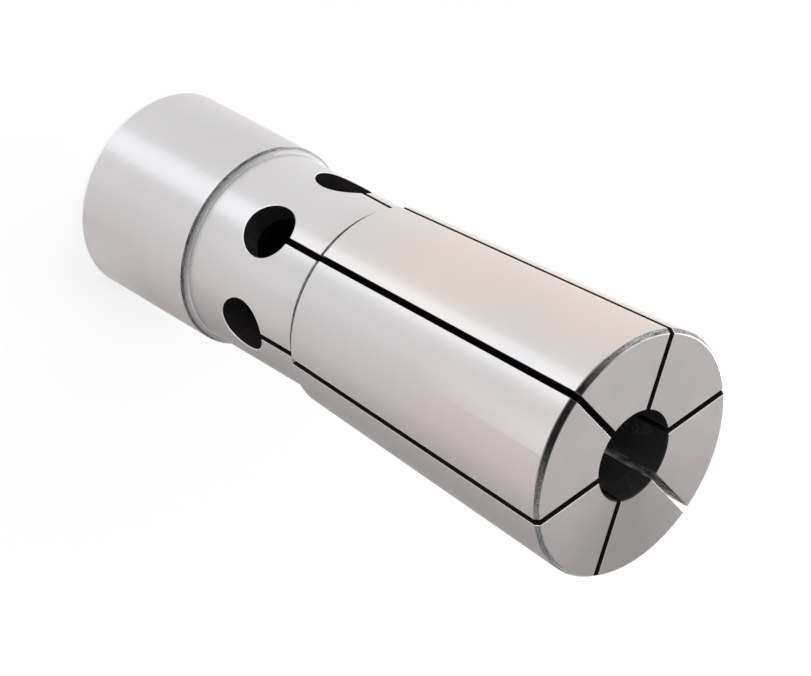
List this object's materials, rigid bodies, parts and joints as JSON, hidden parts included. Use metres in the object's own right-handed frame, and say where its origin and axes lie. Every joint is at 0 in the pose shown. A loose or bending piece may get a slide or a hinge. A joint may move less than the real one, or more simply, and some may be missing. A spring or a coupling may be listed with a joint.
{
  "type": "spring collet",
  "caption": "Slotted spring collet with a long tapered front, relief holes at the ends of its slots, a plain round head and a rear draw thread.",
  "frame": {"origin": "centre of the rear face, at the mouth of the draw thread", "axes": "+Z along the collet's axis, from the rear face to the nose; +X through the middle of one slot and its relief hole"},
  "size_m": [0.022, 0.022, 0.06],
  "materials": {
    "ground_steel": "fine ground, satin bright"
  },
  "bodies": {
    "root": {"collet": "ground_steel"}
  },
  "joints": []
}
